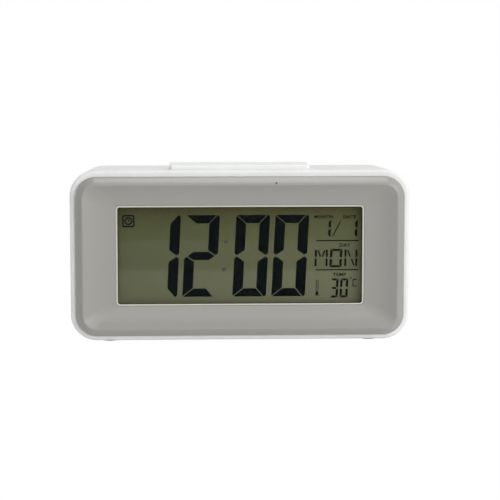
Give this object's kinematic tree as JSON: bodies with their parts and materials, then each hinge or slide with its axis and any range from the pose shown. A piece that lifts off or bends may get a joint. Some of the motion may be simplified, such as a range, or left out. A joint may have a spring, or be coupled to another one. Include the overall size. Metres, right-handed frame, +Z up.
{
  "type": "day and date desk clock",
  "caption": "Desk clock in a tapered white case: a dished grey bezel frames a wide liquid crystal display of time, day and date, with a push bar on top and keys behind.",
  "frame": {"origin": "on the table under the middle of the clock: the middle of the overall box in X and Y, at the feet's undersides", "axes": "+X to the right seen from the front, along the longest side; +Y from the front to the back; +Z up"},
  "size_m": [0.135, 0.0456, 0.0703],
  "materials": {
    "case_white": "fine satin moulded plastic",
    "bar_white": "satin moulded plastic",
    "key_white": "satin moulded plastic",
    "bezel_grey": "warm grey satin moulded plastic",
    "lens_clear": "polished clear acrylic",
    "film": "polarising film",
    "display_glass": "float glass with clear electrodes",
    "guide_clear": "frosted acrylic",
    "lamp": "light-emitting diode resin",
    "frame_white": "white moulded plastic",
    "strip_rubber": "layered silicone connector",
    "board": "glass-fibre board with green solder mask",
    "resin_black": "black potting resin",
    "can_metal": "drawn metal can",
    "chip_ceramic": "chip resistors and capacitors",
    "sensor_resin": "dipped resin",
    "switch_black": "black moulded plastic",
    "plunger_black": "black moulded plastic",
    "battery_jacket": "printed steel can, plain",
    "contact_steel": "nickel-plated spring steel",
    "buzzer_brass": "rolled brass",
    "buzzer_ceramic": "silvered piezo ceramic",
    "screw_steel": "zinc-plated steel",
    "foot_rubber": "translucent white elastomer",
    "wire_black": "vinyl insulation",
    "wire_red": "vinyl insulation",
    "wire_blue": "vinyl insulation",
    "ribbon_grey": "vinyl flat cable"
  },
  "bodies": {
    "root": {"rear_case": "case_white", "front_bezel": "bezel_grey", "display_lens": "lens_clear", "front_polarizer": "film", "rear_film": "film", "front_glass": "display_glass", "rear_glass": "display_glass", "light_guide": "guide_clear", "backlight_lamps": "lamp", "display_frame": "frame_white", "zebra_strip": "strip_rubber", "main_board": "board", "key_board": "board", "snooze_board": "board", "chip_blob": "resin_black", "quartz_crystal": "can_metal", "capacitor": "can_metal", "chip_parts": "chip_ceramic", "light_sensor": "sensor_resin", "temperature_sensor": "sensor_resin", "key_switches": "switch_black", "snooze_switches": "switch_black", "slide_switch_body": "switch_black", "battery_cells": "battery_jacket", "contact_plates": "contact_steel", "contact_springs": "contact_steel", "buzzer_plate": "buzzer_brass", "buzzer_ceramic": "buzzer_ceramic", "case_screws": "screw_steel", "board_screws": "screw_steel", "key_board_screws": "screw_steel", "snooze_board_screws": "screw_steel", "rubber_feet": "foot_rubber", "battery_lead_black": "wire_black", "battery_lead_red": "wire_red", "buzzer_leads": "wire_blue", "key_ribbon": "ribbon_grey", "snooze_ribbon": "ribbon_grey"},
    "snooze": {"snooze_bar": "bar_white", "snooze_plungers": "plunger_black"},
    "set": {"set_key": "key_white", "set_plunger": "plunger_black"},
    "up": {"up_key": "key_white", "up_plunger": "plunger_black"},
    "down": {"down_key": "key_white", "down_plunger": "plunger_black"},
    "alarm": {"alarm_key": "key_white", "alarm_plunger": "plunger_black"},
    "unit": {"unit_key": "key_white", "unit_plunger": "plunger_black"},
    "light_switch": {"slide_knob": "key_white", "slide_lever": "switch_black"},
    "door": {"battery_door": "case_white"}
  },
  "joints": [
    {"name": "snooze_press", "type": "slide", "parent": "root", "child": "snooze", "axis": [0, 0, -1], "range_m": [0, 0.0005], "stiffness_N_per_m": 5000},
    {"name": "set_press", "type": "slide", "parent": "root", "child": "set", "axis": [0, -1, 0], "range_m": [0, 0.0005], "stiffness_N_per_m": 3000},
    {"name": "up_press", "type": "slide", "parent": "root", "child": "up", "axis": [0, -1, 0], "range_m": [0, 0.0005], "stiffness_N_per_m": 3000},
    {"name": "down_press", "type": "slide", "parent": "root", "child": "down", "axis": [0, -1, 0], "range_m": [0, 0.0005], "stiffness_N_per_m": 3000},
    {"name": "alarm_press", "type": "slide", "parent": "root", "child": "alarm", "axis": [0, -1, 0], "range_m": [0, 0.0005], "stiffness_N_per_m": 3000},
    {"name": "unit_press", "type": "slide", "parent": "root", "child": "unit", "axis": [0, -1, 0], "range_m": [0, 0.0005], "stiffness_N_per_m": 3000},
    {"name": "light_switch_slide", "type": "slide", "parent": "root", "child": "light_switch", "axis": [-1, 0, 0], "range_m": [0, 0.0025]},
    {"name": "door_hinge", "type": "hinge", "parent": "root", "child": "door", "pos_m": [0, 0.02085, 0.01015], "axis": [-1, 0, 0], "range_deg": [0, 75]}
  ]
}
